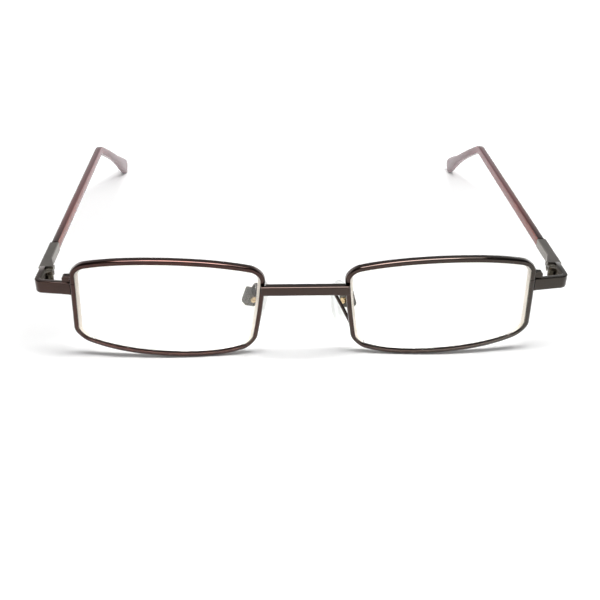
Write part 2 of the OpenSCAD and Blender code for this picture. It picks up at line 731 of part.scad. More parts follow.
// Spring housing: a box that widens towards the hinge, a pocket for the tongue and a bore for the spring
module spring_housing() {
    inner_x = housing_x - housing_w / 2;
    lap = housing_edge + 0.1;
    color("#8f8a82") difference() {
        union() {
            translate([housing_x, housing_end, hinge_mid]) rotate([90, 0, 0])
                linear_extrude(housing_l) rounded(housing_w, housing_h, housing_edge);
            translate([0, 0, hinge_mid - housing_h / 2]) linear_extrude(housing_h)
                polygon([[inner_x + lap, housing_y], [inner_x - flare_w, housing_y],
                    [inner_x - flare_w, housing_y + 0.6], [inner_x, housing_y + flare_l],
                    [inner_x + lap, housing_y + flare_l]]);
        }
        translate([housing_x - 2 * housing_w, housing_y - 1, hinge_mid - tongue_room / 2])
            cube([tongue_out + 0.1 - housing_x + 2 * housing_w, pocket_end - housing_y + 1, tongue_room]);
        translate([housing_x, 0, hinge_mid]) y_rod(rod_d + 2 * pin_fit, pocket_end - 1, bore_y + 1);
        translate([housing_x, 0, hinge_mid]) y_rod(bore_d, bore_y, housing_end + 1);
    }
}

// Temple core: a plug in the housing and a flat wire down the sleeve
module temple_core() {
    path = [for (s = core_stops) line_point(s)];
    color("#b0aaa0") union() {
        translate([housing_x, 0, hinge_mid]) y_rod(bore_d - 2 * core_fit, bore_end, housing_end + seam / 2);
        loft([for (i = [0:len(path) - 1]) ring(path, i, box_section(core_w, core_h))]);
    }
}

// Temple sleeve: round-edged plastic with a bent, widened ear tip
module temple_sleeve() {
    path = [for (s = sleeve_stops) line_point(s)];
    room = [for (s = concat([-1], [for (s = core_stops) if (s > 0) s], [core_end])) line_point(s)];
    color("#7a4448") difference() {
        loft([for (i = [0:len(path) - 1])
            ring(path, i, round_section(sleeve_thick(sleeve_stops[i]), sleeve_high(sleeve_stops[i]), 20))]);
        loft([for (i = [0:len(room) - 1])
            ring(room, i, box_section(core_w + 2 * core_fit, core_h + 2 * core_fit))]);
    }
}

// Pad arm: a round wire
module pad_arm(arm_x, arm_z, box_at, splay) {
    path = arm_path(arm_x, arm_z, box_at, splay);
    color("#5a544c") loft([for (i = [0:len(path) - 1]) ring(path, i, round_wire(arm_d, 10))]);
}

// Pad box: a cup that opens towards the nose, drilled for the pad screw
module pad_box(box_at, splay) {
    inside = box_w - 2 * box_wall;
    color("#5c5a54") on_pad(box_at, splay) difference() {
        translate([-box_d / 2, 0, 0]) rotate([90, 0, 90]) linear_extrude(box_d) rounded(box_w, box_l, 0.8);
        translate([-box_d / 2 - 1, -inside / 2, -box_l / 2 + box_wall])
            cube([box_d - box_wall + 1, inside, box_l - 2 * box_wall]);
        y_rod(pad_screw_d + 2 * pin_fit, -box_w, box_w);
    }
}
module pad_screw(box_at, splay) {
    head_y = -box_w / 2 - seat;
    color("#d8c8a8") on_pad(box_at, splay) difference() {
        union() {
            y_rod(pad_screw_d, head_y, box_w / 2);
            y_rod(pad_head_d, head_y - 0.4, head_y);
        }
        translate([0, head_y - 0.4, 0]) cube([pad_head_d + 1, 0.4, 0.3], center = true);
    }
}

// Stiff insert: a drilled stem in the box and a plate in the back of the pad
module pad_insert(box_at, splay) {
    stem_w = box_w - 2 * box_wall - 0.3;
    color("#e6e2d4") on_pad(box_at, splay) difference() {
        union() {
            y_rod(stem_d, -stem_w / 2, stem_w / 2);
            translate([pad_x - 0.1, -stem_w / 2, -stem_d / 2]) cube([-pad_x + 0.1, stem_w, stem_d]);
            translate([pad_x - insert_t, 0, -pad_drop]) rotate([90, 0, 90]) linear_extrude(insert_t - seat)
                insert_shape(0);
        }
        y_rod(pad_screw_d + 2 * pin_fit, -box_w, box_w);
    }
}
module insert_shape(g) {
    r = insert_w / 2 + g;
    square([2 * r, insert_l - insert_w], center = true);
    for (z = [-1, 1]) translate([0, z * (insert_l - insert_w) / 2]) circle(r = r);
}

// Nose pad: a crowned oval with a pocket for the insert
module nose_pad(box_at, splay) {
    color("#eef2f0") on_pad(box_at, splay) translate([0, 0, -pad_drop]) difference() {
        loft(concat(
            [pad_ring(pad_x, 0.9)],
            [for (i = [0:crown_steps]) let (a = 84 * i / crown_steps)
                pad_ring(pad_x - 0.6 - (pad_t - 0.6) * sin(a), pow(cos(a), 0.6))]));
        translate([pad_x - insert_t - seat, 0, 0]) rotate([90, 0, 90])
            linear_extrude(insert_t + 1) insert_shape(core_fit);
    }
}

module left_rim() { eyewire(); }
module right_rim() { right_side() eyewire(); }
module left_lens() { lens_blank(); }
module right_lens() { right_side() lens_blank(); }
module left_upper_lock() { upper_lock(); }
module right_upper_lock() { right_side() upper_lock(); }
module left_lower_lock() { lower_lock(); }
module right_lower_lock() { right_side() lower_lock(); }
module left_rim_screw() { rim_screw(); }
module right_rim_screw() { right_side() rim_screw(); }
module left_end_piece() { end_piece(); }
module right_end_piece() { right_side() end_piece(); }
module left_front_hinge() { front_hinge(); }
module right_front_hinge() { right_side() front_hinge(); }
module left_hinge_screw() { hinge_screw(); }
module right_hinge_screw() { right_side() hinge_screw(); }
module left_spring_carriage() { spring_carriage(); }
module right_spring_carriage() { right_side() spring_carriage(); }
module left_hinge_spring() { hinge_spring(); }
module right_hinge_spring() { right_side() hinge_spring(); }
module left_spring_housing() { spring_housing(); }
module right_spring_housing() { right_side() spring_housing(); }
module left_temple_core() { temple_core(); }
module right_temple_core() { right_side() temple_core(); }
module left_temple_sleeve() { temple_sleeve(); }
module right_temple_sleeve() { right_side() temple_sleeve(); }
module left_pad_arm() { pad_arm(left_arm_x, left_arm_z, left_box_at, left_splay); }
module right_pad_arm() { right_side() pad_arm(right_arm_x, right_arm_z, right_box_at, right_splay); }
module left_pad_box() { pad_box(left_box_at, left_splay); }
module right_pad_box() { right_side() pad_box(right_box_at, right_splay); }
module left_pad_screw() { pad_screw(left_box_at, left_splay); }
module right_pad_screw() { right_side() pad_screw(right_box_at, right_splay); }
module left_pad_insert() { pad_insert(left_box_at, left_splay); }
module right_pad_insert() { right_side() pad_insert(right_box_at, right_splay); }
module left_nose_pad() { nose_pad(left_box_at, left_splay); }
module right_nose_pad() { right_side() nose_pad(right_box_at, right_splay); }

bridge();
left_rim();
right_rim();
left_lens();
right_lens();
left_upper_lock();
right_upper_lock();
left_lower_lock();
right_lower_lock();
left_rim_screw();
right_rim_screw();
left_end_piece();
right_end_piece();
left_front_hinge();
right_front_hinge();
left_hinge_screw();
right_hinge_screw();
left_spring_carriage();
right_spring_carriage();
left_hinge_spring();
right_hinge_spring();
left_spring_housing();
right_spring_housing();
left_temple_core();
right_temple_core();
left_temple_sleeve();
right_temple_sleeve();
left_pad_arm();
right_pad_arm();
left_pad_box();
right_pad_box();
left_pad_screw();
right_pad_screw();
left_pad_insert();
right_pad_insert();
left_nose_pad();
right_nose_pad();
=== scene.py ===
"""Reading glasses: the looks of every piece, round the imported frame.

Lengths are in millimetres until a mesh is written, which is in metres, and angles are in radians.
left_ is the wearer's left, at +X. A right piece is its left one mirrored in X, apart from the nose
pads and their arms, which are bent a little differently.
"""

import bmesh
import bpy
import numpy as np
from mathutils import Matrix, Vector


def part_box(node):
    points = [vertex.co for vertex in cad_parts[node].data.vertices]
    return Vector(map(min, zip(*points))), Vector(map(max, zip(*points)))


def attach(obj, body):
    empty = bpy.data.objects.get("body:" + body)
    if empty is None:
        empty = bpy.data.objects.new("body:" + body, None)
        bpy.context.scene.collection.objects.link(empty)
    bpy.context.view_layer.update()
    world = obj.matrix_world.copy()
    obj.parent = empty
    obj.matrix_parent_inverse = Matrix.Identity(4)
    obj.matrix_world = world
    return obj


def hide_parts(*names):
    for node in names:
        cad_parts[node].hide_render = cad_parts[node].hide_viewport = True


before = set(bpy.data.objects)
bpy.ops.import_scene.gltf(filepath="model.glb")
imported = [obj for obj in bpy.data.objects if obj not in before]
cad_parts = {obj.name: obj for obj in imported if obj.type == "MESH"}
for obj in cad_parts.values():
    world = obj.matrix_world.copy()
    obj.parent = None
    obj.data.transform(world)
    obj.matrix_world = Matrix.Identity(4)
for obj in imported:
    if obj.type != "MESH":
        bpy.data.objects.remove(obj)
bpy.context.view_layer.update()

MM = 0.001
SIDES = {"left": 1, "right": -1}

# Eyewire
NOSE_GAP = 19.8
RIM_W = 48.3
RIM_H = 29.4
TOP_BOW = 3.85
TOP_RISE = 0.75
LOW_BOW = 3.75
LOW_RISE = 1.5
NOSE_TAPER = 2.7
TEMPLE_FLARE = 1.0
TOP_CORNER = 3.9
LOW_CORNER = 4.0
LEAN = np.radians(4.7)
WRAP = np.radians(0.5)
CURVE_R = 111.0
WIRE_W = 1.25
WIRE_D = 1.75
GROOVE_DEEP = 0.5
GROOVE_WIDE = 0.6
GROOVE_LIP = 0.3
# Rounds of the wire's section: outer front corner, inner front corner, the groove's four, then the back two
WIRE_ROUNDS = [0.6, 0.14, 0.04, 0.08, 0.08, 0.04, 0.3, 0.45]
RIM_A = RIM_W / 2
RIM_CX = NOSE_GAP / 2 + RIM_A
RIM_MID = RIM_H / 2

# Lens
LENS_FRONT_R = 106.0
LENS_BACK_R = 128.0
LENS_T = 1.65
LENS_FIT = 0.03
LENS_SET = 0.75
FACET_W = 0.75
RIDGE_HALF = 0.08
FACE_RINGS = 26

# Bridge
BRIDGE_H = 2.6
BRIDGE_D = 1.75
BRIDGE_LAP = 0.9
LAP_D = 0.95
BRIDGE_Z = 20.1
BRIDGE_Y = 0.5
BRIDGE_BEVEL = 0.35
BRIDGE_SEAT = 0.05
BRIDGE_PLAY = 0.1

# End piece
FRONT_W = 135.2
BAR_H = 3.35
BAR_T = 1.35
BAR_ROUNDS = [0.32, 0.32, 0.2, 0.2]
SOLDER_W = 0.06
BAR_TOP = 21.85
HINGE_TOP = 21.7
CORNER_BACK = 2.9
CORNER_R = 2.2
BAR_SWEEP = np.radians(9)
LEG_END = 11.2
LOCK_SLIT = 0.12
LOCK_Y = 4
SLIT_UP = 0.15

# Hinge spring
SPRING_WIRE = 0.25
SPRING_D = 1.45
SPRING_TURNS = 9

# Temple sleeve
SLEEVE_START = 25.55
BEND_Y = 98.4
BEND_R = 9.0
HOOK_ANGLE = np.radians(26)
TIP_CURVE_R = 205.0
TOE_IN = 3.2
SLEEVE_W = 2.1
SLEEVE_H = 2.9
BEND_W = 2.25
BEND_H = 2.65
TIP_H = 5.7
TIP_W = 2.4
TIP_ROUND = 3.0
MOUTH_EASE = 0.3
SECTION_POWER = 0.55

# Nose pads
PAD_L = 13.2
PAD_W = 7.8
PAD_T = 2.2
PAD_FRONTAL = np.radians(22)
PAD_DROP = 1.6
PAD_FLOAT = 0.9
PAD_RIM = 0.6
BOX_L = 4.4
BOX_D = 2.4
BOX_BACK = 9.0
ARM_D = 0.9
ARM_ROOT = 7.2
ARM_TOP_Y = 6.2
SOLDER_L = 1.6
SEAT = 0.02
SPLAY = {"left": np.radians(50), "right": np.radians(26)}
BOX_AT = {"left": (11.8, BOX_BACK, 12.7), "right": (14.1, BOX_BACK, 13.8)}
ARM_TOP = {"left": (7.7, ARM_TOP_Y, 16.3), "right": (12.1, ARM_TOP_Y, 17.3)}

# Finishes: the range of most noise values, the share of a face's normal that points up or down on upright
# and on level faces, how high grain stands, and where shades start and end their turn into others: along X
# for the painted tint of warmer light on the brown plating, and along Y for the sleeves' painted reflection
# that greys and pales them, the darkening of their top towards the front and the painted shade line at their
# mouth
NOISE_LOW, NOISE_HIGH = 0.3, 0.7
UPRIGHT_BELOW, LEVEL_ABOVE = 0.45, 0.8
METAL_GRAIN = 0.01
FLOW_GRAIN = 0.02
WARM_LIGHT_TURNS = (-30, 65)
SIDE_GREYS = (35, 100)
TOP_GREYS = (40, 100)
TOP_DARKENS = (45, 26)
BEND_PALES = (98, 110)
END_PALES = (108, 128)
MOUTH_SHADE_LINE = (26.2, 25.7)


# Numbers on arrays


def ease(t):
    """Smooth step from 0 to 1."""
    t = np.clip(t, 0, 1)
    return t * t * (3 - 2 * t)


def unit(v):
    """Vectors along the last axis, each divided by its length."""
    return v / np.linalg.norm(v, axis=-1, keepdims=True)


def rounded_loop(corners, radii, steps):
    """Closed polygon with each corner turned into a parabola, which starts and ends its radius away from the
    corner."""
    c = np.array(corners, float)
    r = np.array(radii, float)[:, None]
    before = c + unit(np.roll(c, 1, 0) - c) * r
    after = c + unit(np.roll(c, -1, 0) - c) * r
    t = np.linspace(0, 1, steps)[None, :, None]
    arc = (1 - t) ** 2 * before[:, None] + 2 * t * (1 - t) * c[:, None] + t * t * after[:, None]
    return arc.reshape(-1, 2)


def oval_loop(w, h, power, count):
    """Superellipse of a given width and height: cosine and sine raised to a power, with their signs."""
    a = np.linspace(0, 2 * np.pi, count, endpoint=False)
    x = np.sign(np.cos(a)) * np.abs(np.cos(a)) ** power
    y = np.sign(np.sin(a)) * np.abs(np.sin(a)) ** power
    return np.stack([x * w / 2, y * h / 2], -1)


def along(path, sections):
    """Sections carried along a path: each section's x goes sideways and its y upwards, square to the path."""
    tangent = unit(np.gradient(path, axis=0))
    up = unit(np.cross([1.0, 0.0, 0.0], tangent))
    out = np.cross(tangent, up)
    return path[:, None] + sections[..., :1] * out[:, None] + sections[..., 1:] * up[:, None]


# Meshes


def put(name, verts, faces, body, nodes, finish, sharp, ground=None):
    """Writes a mesh in metres, closes its seams and poles, turns its faces outwards and dresses it. Edges
    over sharp degrees stay crisp. ground is a number per point that a material can read, where a surface is
    ground and not polished."""
    mesh = bpy.data.meshes.new(name)
    mesh.from_pydata((verts * MM).tolist(), [], faces)
    if ground is not None:
        mesh.attributes.new("ground", "FLOAT", "POINT").data.foreach_set("value", ground)
    tidy = bmesh.new()
    tidy.from_mesh(mesh)
    bmesh.ops.remove_doubles(tidy, verts=tidy.verts, dist=1e-8)
    bmesh.ops.recalc_face_normals(tidy, faces=tidy.faces)
    tidy.to_mesh(mesh)
    tidy.free()
    mesh.shade_smooth()
    mesh.set_sharp_from_angle(angle=np.radians(sharp))
    mesh.materials.append(finish)
    piece = bpy.data.objects.new(name, mesh)
    bpy.context.scene.collection.objects.link(piece)
    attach(piece, body)
    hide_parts(*nodes)


def skin(grid, caps=True):
    """Points and faces of a tube over a grid of points: rows follow its path and columns go round it. Caps
    close its ends, unless they have shrunk to a point."""
    count = grid.shape[0] * grid.shape[1]
    here = np.arange(count).reshape(grid.shape[:2])
    right = np.roll(here, -1, 1)
    faces = np.stack([here[:-1], right[:-1], right[1:], here[1:]], -1).reshape(-1, 4).tolist()
    if caps:
        faces += [here[0].tolist(), here[-1].tolist()]
    return grid.reshape(-1, 3), faces


def both_sides(kind, grid, body, finish, sharp=35, ground=None, caps=True):
    """A left piece from its grid, and the right one mirrored in X. body is a pattern with {} for the side."""
    for side, sign in SIDES.items():
        verts, faces = skin(grid * [sign, 1, 1], caps)
        node = f"{side}_{kind}"
        put(f"{node}_skin", verts, faces, body.format(side), [node], finish, sharp, ground)


def eased_copy(node, body, finish, edge):
    """Copy of a machined node with its loose triangles merged and its edges rounded to a width."""
    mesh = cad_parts[node].data.copy()
    tidy = bmesh.new()
    tidy.from_mesh(mesh)
    bmesh.ops.remove_doubles(tidy, verts=tidy.verts, dist=2e-6)
    bmesh.ops.dissolve_limit(tidy, angle_limit=np.radians(1), verts=tidy.verts, edges=tidy.edges)
    tidy.to_mesh(mesh)
    tidy.free()
    mesh.materials.clear()
    mesh.materials.append(finish)
    mesh.shade_smooth()
    mesh.set_sharp_from_angle(angle=np.radians(50))
    piece = bpy.data.objects.new(f"{node}_eased", mesh)
    bpy.context.scene.collection.objects.link(piece)
    rounds = piece.modifiers.new("broken edges", "BEVEL")
    rounds.width = edge * MM
    rounds.segments = 3
    rounds.limit_method = "ANGLE"
    rounds.angle_limit = np.radians(50)
    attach(piece, body)
    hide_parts(node)


# Materials


def linear(hex_colour):
    """sRGB hex to a linear colour with alpha 1."""
    c = np.array([int(hex_colour[i:i + 2], 16) for i in (1, 3, 5)]) / 255
    c = np.where(c <= 0.04045, c / 12.92, ((c + 0.055) / 1.055) ** 2.4)
    return (*c.tolist(), 1.0)


def add(tree, kind, inputs=None, **settings):
    """Adds a node. inputs maps a socket's name or number to a value, a hex colour, an output that feeds it,
    or a node whose first output feeds it."""
    made = tree.nodes.new(kind)
    for key, value in settings.items():
        setattr(made, key, value)
    for key, value in (inputs or {}).items():
        if isinstance(value, bpy.types.Node):
            value = value.outputs[0]
        if isinstance(value, bpy.types.NodeSocket):
            tree.links.new(value, made.inputs[key])
        else:
            made.inputs[key].default_value = linear(value) if isinstance(value, str) else value
    return made


def blank(name):
    """An empty material, its node tree and its output node."""
    material = bpy.data.materials.new(name)
    material.use_nodes = True
    tree = material.node_tree
    tree.nodes.clear()
    return material, tree, add(tree, "ShaderNodeOutputMaterial")


def whereabouts(tree):
    """X, Y and Z of the object's own directions, in metres."""
    place = add(tree, "ShaderNodeTexCoord").outputs["Object"]
    return add(tree, "ShaderNodeSeparateXYZ", {0: place}).outputs


def speckle(tree, size_mm, detail=3.0, stretch=(1, 1, 1)):
    """Noise whose spots are about size_mm across."""
    place = add(tree, "ShaderNodeTexCoord").outputs["Object"]
    spots = add(tree, "ShaderNodeMapping", {"Vector": place, "Scale": [s / (size_mm * MM) for s in stretch]})
    return add(tree, "ShaderNodeTexNoise", {"Vector": spots, "Scale": 1.0, "Detail": detail})


def uneven(tree, noise, low, high):
    """A value that wanders between two others as a noise does."""
    return add(tree, "ShaderNodeMapRange", {0: noise, 1: NOISE_LOW, 2: NOISE_HIGH, 3: low, 4: high})


def mottled(tree, noise, first, second):
    """Two shades in soft patches that follow a noise."""
    patches = uneven(tree, noise, 0.0, 1.0)
    return add(tree, "ShaderNodeMix", {0: patches, 6: first, 7: second}, data_type="RGBA").outputs[2]


def fade(tree, place, turn, first, second):
    """A shade that turns to another as a coordinate runs over turn, its start and end in millimetres."""
    share = add(tree, "ShaderNodeMapRange", {0: place, 1: turn[0] * MM, 2: turn[1] * MM})
    return add(tree, "ShaderNodeMix", {0: share, 6: first, 7: second}, data_type="RGBA").outputs[2]


def by_facing(tree, upright, level):
    """One shade on upright faces and another on those that look up or down in the piece's own directions,
    which paints light and shade by the way a face turns.
    """
    normal = add(tree, "ShaderNodeTexCoord").outputs["Normal"]
    up = add(tree, "ShaderNodeSeparateXYZ", {0: normal}).outputs["Z"]
    steep = add(tree, "ShaderNodeMath", {0: up}, operation="ABSOLUTE")
    share = add(tree, "ShaderNodeMapRange", {0: steep, 1: UPRIGHT_BELOW, 2: LEVEL_ABOVE})
    return add(tree, "ShaderNodeMix", {0: share, 6: upright, 7: level}, data_type="RGBA").outputs[2]


def metal(name, paler_patches, plain, rough, grain_mm, grain, stretch=(1, 1, 1), across=None, upright=None,
          lacquer=0.0, patch_mm=6.0):
    """A metal of two shades in soft patches, with a grain in its roughness and its surface. The grain is
    drawn coarser than real polishing lines, so that it shows. across is the shade that the two turn to
    towards +X, a painted tint of light, and upright is the shade of upright faces, a painted reflection."""
    material, tree, out = blank(name)
    colour = mottled(tree, speckle(tree, patch_mm), paler_patches, plain)
    if across:
        # Painted light: a warmer tint on the wearer's right, turning olive towards +X
        colour = fade(tree, whereabouts(tree)["X"], WARM_LIGHT_TURNS, colour, across)
    if upright:
        colour = by_facing(tree, upright, colour)
    lines = speckle(tree, grain_mm, 2.0, stretch)
    raised = {"Height": lines, "Strength": grain, "Distance": METAL_GRAIN * MM}
    shader = add(tree, "ShaderNodeBsdfPrincipled", {
        "Base Color": colour, "Metallic": 1.0, "Roughness": uneven(tree, lines, rough * 0.85, rough * 1.2),
        "Coat Weight": lacquer, "Coat Roughness": 0.1, "Normal": add(tree, "ShaderNodeBump", raised)})
    tree.links.new(shader.outputs[0], out.inputs["Surface"])
    return material


def let_lamps_through(tree, glass, tint, out):
    """Shows a clear shader, and lets the rays that look for a lamp pass it, so that its shadow is faint."""
    shadow_ray = add(tree, "ShaderNodeLightPath").outputs["Is Shadow Ray"]
    open_way = add(tree, "ShaderNodeBsdfTransparent", {"Color": tint})
    mix = add(tree, "ShaderNodeMixShader", {0: shadow_ray, 1: glass, 2: open_way})
    tree.links.new(mix.outputs[0], out.inputs["Surface"])


def clear(name, tint, rough, ior):
    """A clear polymer, faintly uneven in its polish over a few millimetres."""
    material, tree, out = blank(name)
    haze = uneven(tree, speckle(tree, 4.0), rough * 0.8, rough * 1.2)
    glass = add(tree, "ShaderNodeBsdfPrincipled", {
        "Base Color": tint, "Roughness": haze, "IOR": ior, "Transmission Weight": 1.0})
    let_lamps_through(tree, glass, tint, out)
    return material


def lens_finish():
    """Hard-coated allyl diglycol carbonate, cast: clear on its faces, and ground matt, cream white, round its
    bevelled edge. The grit is drawn coarser than it is, so that it shows."""
    material, tree, out = blank("allyl_diglycol_carbonate_edge_ground")
    ground = add(tree, "ShaderNodeAttribute", attribute_name="ground").outputs["Fac"]
    grit = uneven(tree, speckle(tree, 0.15), 0.9, 1.0)
    matt = add(tree, "ShaderNodeMath", {0: ground, 1: grit}, operation="MULTIPLY")
    tint = add(tree, "ShaderNodeMix", {0: matt, 6: "#fefdfa", 7: "#f0e8dc"}, data_type="RGBA")
    glass = add(tree, "ShaderNodeBsdfPrincipled", {
        "Base Color": tint.outputs[2], "IOR": 1.5,
        "Roughness": add(tree, "ShaderNodeMapRange", {0: matt, 3: 0.01, 4: 0.5}),
        "Transmission Weight": add(tree, "ShaderNodeMapRange", {0: matt, 3: 1.0, 4: 0.2})})
    let_lamps_through(tree, glass, "#fefdfa", out)
    return material


def sleeve_finish():
    """Cellulose propionate, polished: dark brown above and rose at its sides, which are painted lighter, as
    if light came through the plastic there. A painted reflection of bright light greys it towards the ear
    bend and pales it past it, and its top darkens towards the front. Faint long streaks come from the
    moulding flow, and a painted line of shade darkens its front edge, where it meets the housing."""
    material, tree, out = blank("cellulose_propionate_polished")
    y = whereabouts(tree)["Y"]
    streaks = speckle(tree, 1.6, 3.0, (1, 0.06, 1))
    # Painted light: the sides are lighter and rose, as if light came through them
    side = mottled(tree, streaks, "#8a4b40", "#985b4f")
    # Painted reflection of bright light: the sides grey towards the ear bend
    side = fade(tree, y, SIDE_GREYS, side, "#966a6e")
    # The darker top, against the painted light on the sides
    above = mottled(tree, streaks, "#542623", "#5f2f2d")
    # Painted reflection of bright light: the top greys towards the ear bend
    above = fade(tree, y, TOP_GREYS, above, "#5c3a3e")
    above = fade(tree, y, TOP_DARKENS, above, "#2c1a17")
    colour = by_facing(tree, side, above)
    # Painted reflection of bright light: paler past the ear bend, and palest at the end
    colour = fade(tree, y, BEND_PALES, colour, "#86696b")
    colour = fade(tree, y, END_PALES, colour, "#a8979a")
    # Painted shade: a dark line along the front edge, where the sleeve meets the housing
    colour = fade(tree, y, MOUTH_SHADE_LINE, colour, "#1d1513")
    raised = {"Height": streaks, "Strength": 0.04, "Distance": FLOW_GRAIN * MM}
    shader = add(tree, "ShaderNodeBsdfPrincipled", {
        "Base Color": colour, "Roughness": uneven(tree, streaks, 0.13, 0.2), "IOR": 1.47,
        "Specular IOR Level": 0.3, "Normal": add(tree, "ShaderNodeBump", raised)})
    tree.links.new(shader.outputs[0], out.inputs["Surface"])
    return material


# Nickel silver, brown plated and lacquered: dark and glossy, reddish on the wearer's right and olive on the
# left, a painted tint of warmer light on the wearer's right
plating = metal("nickel_silver_brown_plated", "#3e2a23", "#35231d", 0.17, 0.25, 0.2, across="#35302a",
                lacquer=0.5)
# The eyewires' drawn wire, polished before the same plating: redder, with a sharper gloss, and with the
# same painted tint of warmer light on the wearer's right
wire_plating = metal("drawn_wire_brown_plated", "#42271f", "#351d18", 0.15, 0.25, 0.2, across="#35302a",
                     lacquer=0.5)
# Oxidised nickel silver of the hinge knuckles: dull olive
oxidised = metal("nickel_silver_oxidised", "#474036", "#39332b", 0.34, 0.2, 0.4)
# Stainless steel housings: gunmetal grey above, with fine brush lines along them, and paler at their sides,
# where a painted reflection lightens them
gunmetal = metal("stainless_gunmetal_brushed", "#645f5a", "#57534e", 0.34, 0.12, 0.5, stretch=(1, 0.05, 1),
                 upright="#837e77")
# Bare machined stainless steel of the hinge's inner pieces: dark grey with a soft sheen
machined = metal("stainless_machined", "#5f5a4e", "#4d493f", 0.32, 0.15, 0.4)
# Pressed stainless steel of the pad boxes: mottled light and dark grey, painted highlights and shade of a
# crumpled surface
pressed = metal("stainless_pressed", "#5f5b54", "#33302c", 0.22, 0.9, 1.0, patch_mm=3.0)
# Polished steel screws: grey glints
screw_steel = metal("screw_steel_polished", "#6d685c", "#5c574c", 0.26, 0.2, 0.2)
# Brass pad screws, slightly dulled: warm yellow glints
brass = metal("brass_dulled", "#d3bd92", "#b89b72", 0.25, 0.2, 0.3)
# Drawn spring wire: bright grey coils
wire_steel = metal("music_wire_drawn", "#b5b5b8", "#9a9a9e", 0.25, 0.1, 0.3)
# Soft silicone pads: clear with a faint haze, and a lower index than the usual 1.41, so that they hardly show
silicone = clear("silicone_clear_soft", "#f6f8f7", 0.35, 1.36)
# Moulded polycarbonate inserts: clear, with a lower index than the usual 1.58, and nearly unseen in the pads
insert_resin = clear("polycarbonate_clear_moulded", "#fafaf7", 0.2, 1.5)
lens_resin = lens_finish()
propionate = sleeve_finish()


# Eyewires and lenses

# The plain rounded rectangle, as corner centres, corner radii and directions, at counted stops
CORNER_STOPS, LONG_STOPS, SIDE_STOPS = 12, 48, 20
STOPS = np.cumsum([0, *[CORNER_STOPS, LONG_STOPS, CORNER_STOPS, SIDE_STOPS] * 2])
LOW_X, LOW_W = RIM_A - LOW_CORNER, LOW_CORNER
TOP_X, TOP_W = RIM_A - TOP_CORNER, RIM_H - TOP_CORNER
STOP_X = [-LOW_X, -LOW_X, LOW_X, LOW_X, TOP_X, TOP_X, -TOP_X, -TOP_X, -LOW_X]
STOP_W = [LOW_W, LOW_W, LOW_W, LOW_W, TOP_W, TOP_W, TOP_W, TOP_W, LOW_W]
STOP_R = [LOW_CORNER] * 4 + [TOP_CORNER] * 4 + [LOW_CORNER]
STOP_A = np.pi * np.array([1, 1.5, 1.5, 2, 2, 2.5, 2.5, 3, 3])
LAP = STOPS[-1]


def outline(t, d):
    """Eyewire outline at stops t, at depth d inside its outer edge: a rounded rectangle whose long edges bow
    by the square and fourth power of the distance from the middle, and whose sides lean away from the nose
    towards the bottom."""
    t = np.asarray(t, float) % LAP
    base_x, base_w, radius, angle = (np.interp(t, STOPS, v) for v in (STOP_X, STOP_W, STOP_R, STOP_A))
    x = base_x + (radius - d) * np.cos(angle)
    w = base_w + (radius - d) * np.sin(angle)
    up = (w - d) / (RIM_H - 2 * d)
    u = x / RIM_A
    low = LOW_BOW * (u**2 + u**4) / 2 + LOW_RISE * u
    top = TOP_RISE * u - TOP_BOW * (4 * u**2 + u**4) / 5
    side = np.where(u < 0, NOSE_TAPER, TEMPLE_FLARE) * np.maximum(1 - up, 0) ** 1.5
    return x + side * np.abs(u), w + low * (1 - up) + top * up


def behind_front(x, w, depth):
    """Depth of a point that lies depth behind the eyewire's front face, which is part of a sphere."""
    return CURVE_R - np.sqrt((CURVE_R - depth) ** 2 - x**2 - (w - RIM_MID) ** 2)


def lean_back(x, s, w):
    """Front's own directions to the frame's, before it is set down on the floor."""
    return np.stack(np.broadcast_arrays(
        x, s * np.cos(LEAN) - w * np.sin(LEAN), s * np.sin(LEAN) + w * np.cos(LEAN)), -1)


def on_rim(x, s, w):
    """Eyewire's own directions to the frame's: turned by the wrap, moved out, leant back and set down."""
    points = lean_back(x * np.cos(WRAP) - s * np.sin(WRAP) + RIM_CX, x * np.sin(WRAP) + s * np.cos(WRAP), w)
    return points - [0, 0, LOW_Z]


lowest_x, lowest_w = outline(np.arange(0, LAP, 0.25), 0)
LOW_Z = 0
LOW_Z = on_rim(lowest_x, behind_front(lowest_x, lowest_w, 0), lowest_w)[:, 2].min()


def up_front(z, y):
    """Height up the leaning front of a point at height z and depth y."""
    return (z + LOW_Z) * np.cos(LEAN) - y * np.sin(LEAN)


def side_share(u, w):
    """How far up an end of the eyewire a height lies, on the nose side (-1) or the temple side (1)."""
    return (w - LOW_BOW - LOW_RISE * u) / (RIM_H - LOW_BOW - LOW_RISE * u - TOP_BOW + TOP_RISE * u)


def nose_in(w):
    """How far the nose side of the eyewire leans away from the nose at a height."""
    return NOSE_TAPER * (1 - side_share(-1, w)) ** 1.5


def rim_grid():
    """Rounded wire with a lens groove, carried round the outline from one face of the rim lock's slit to the
    other."""
    slit_w = up_front(BAR_TOP, LOCK_Y) + SLIT_UP + LOCK_SLIT / 2
    temple_side = np.linspace(STOPS[3], STOPS[4], 200)
    side_w = outline(temple_side, 0)[1]
    upper, lower = (np.interp(slit_w + g, side_w, temple_side) for g in (LOCK_SLIT / 2, -LOCK_SLIT / 2))
    t = np.linspace(upper, lower + LAP, 260)
    g0 = WIRE_D - GROOVE_LIP - GROOVE_WIDE
    inner = WIRE_W - GROOVE_DEEP
    profile = rounded_loop(
        [(0, 0), (WIRE_W, 0), (WIRE_W, g0), (inner, g0), (inner, g0 + GROOVE_WIDE),
         (WIRE_W, g0 + GROOVE_WIDE), (WIRE_W, WIRE_D), (0, WIRE_D)], WIRE_ROUNDS, 7)
    x, w = outline(t[:, None], profile[None, :, 0])
    return on_rim(x, behind_front(x, w, profile[None, :, 1]), w)


